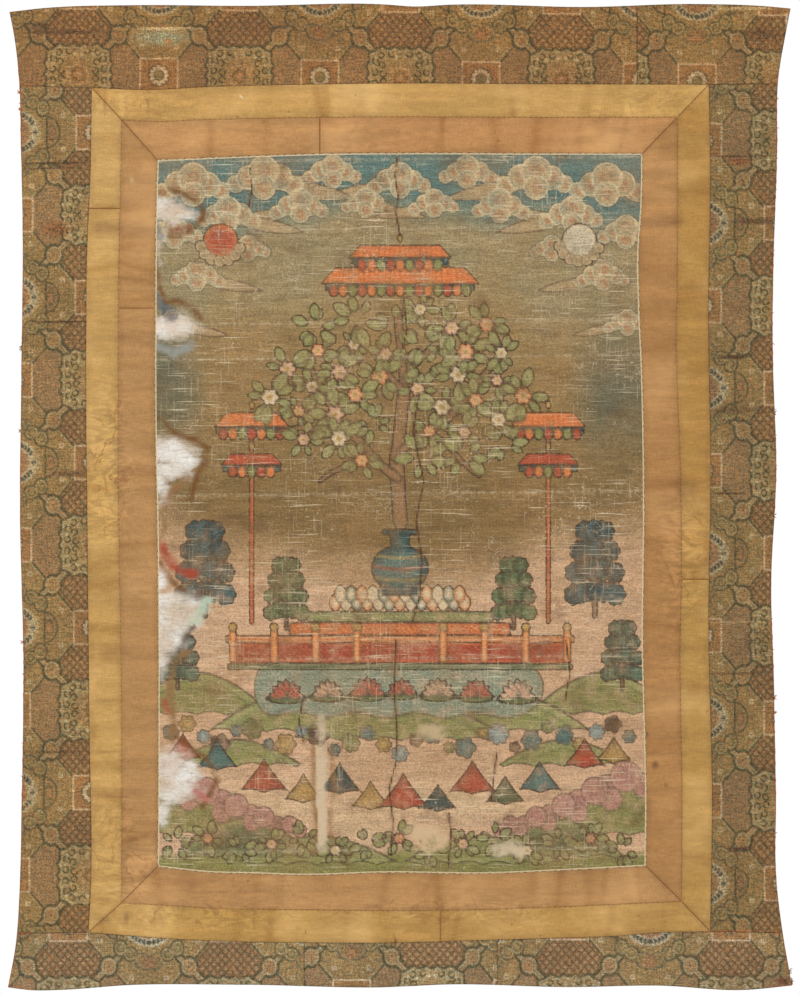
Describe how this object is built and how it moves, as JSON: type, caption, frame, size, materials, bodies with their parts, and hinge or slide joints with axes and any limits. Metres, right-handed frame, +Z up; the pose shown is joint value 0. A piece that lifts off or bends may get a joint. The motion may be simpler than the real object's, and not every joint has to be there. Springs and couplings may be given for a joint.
{
  "type": "thangka scroll painting",
  "caption": "Hanging scroll: a painted cotton panel in orange and yellow silk borders, set in a wide lattice brocade surround, sewn from straight strips.",
  "frame": {"origin": "middle of the top edge, half way through the cloth", "axes": "+Z up along the hanging's height, +X to the viewer's right, the painted face towards -Y"},
  "size_m": [0.9076, 0.0189, 1.1434],
  "materials": {
    "brocade": "aged silk brocade, lattice pattern in olive, brown, cream and slate",
    "yellow_silk": "plain golden silk, worn soft sheen",
    "orange_silk": "plain tan-orange silk, worn soft sheen",
    "painted_cotton": "matt distemper paint on sized cotton, cracked and rubbed"
  },
  "bodies": {
    "root": {"brocade_top_left": "brocade", "brocade_top_right": "brocade", "brocade_left": "brocade", "brocade_right": "brocade", "brocade_bottom_left": "brocade", "brocade_bottom_middle": "brocade", "brocade_bottom_right": "brocade", "silk_yellow_top": "yellow_silk", "silk_yellow_left_upper": "yellow_silk", "silk_yellow_left_lower": "yellow_silk", "silk_yellow_right_upper": "yellow_silk", "silk_yellow_right_lower": "yellow_silk", "silk_yellow_bottom_left": "yellow_silk", "silk_yellow_bottom_right": "yellow_silk", "silk_orange_top_left": "orange_silk", "silk_orange_top_right": "orange_silk", "silk_orange_left_upper": "orange_silk", "silk_orange_left_lower": "orange_silk", "silk_orange_right": "orange_silk", "silk_orange_bottom": "orange_silk", "painted_panel": "painted_cotton"}
  },
  "joints": []
}
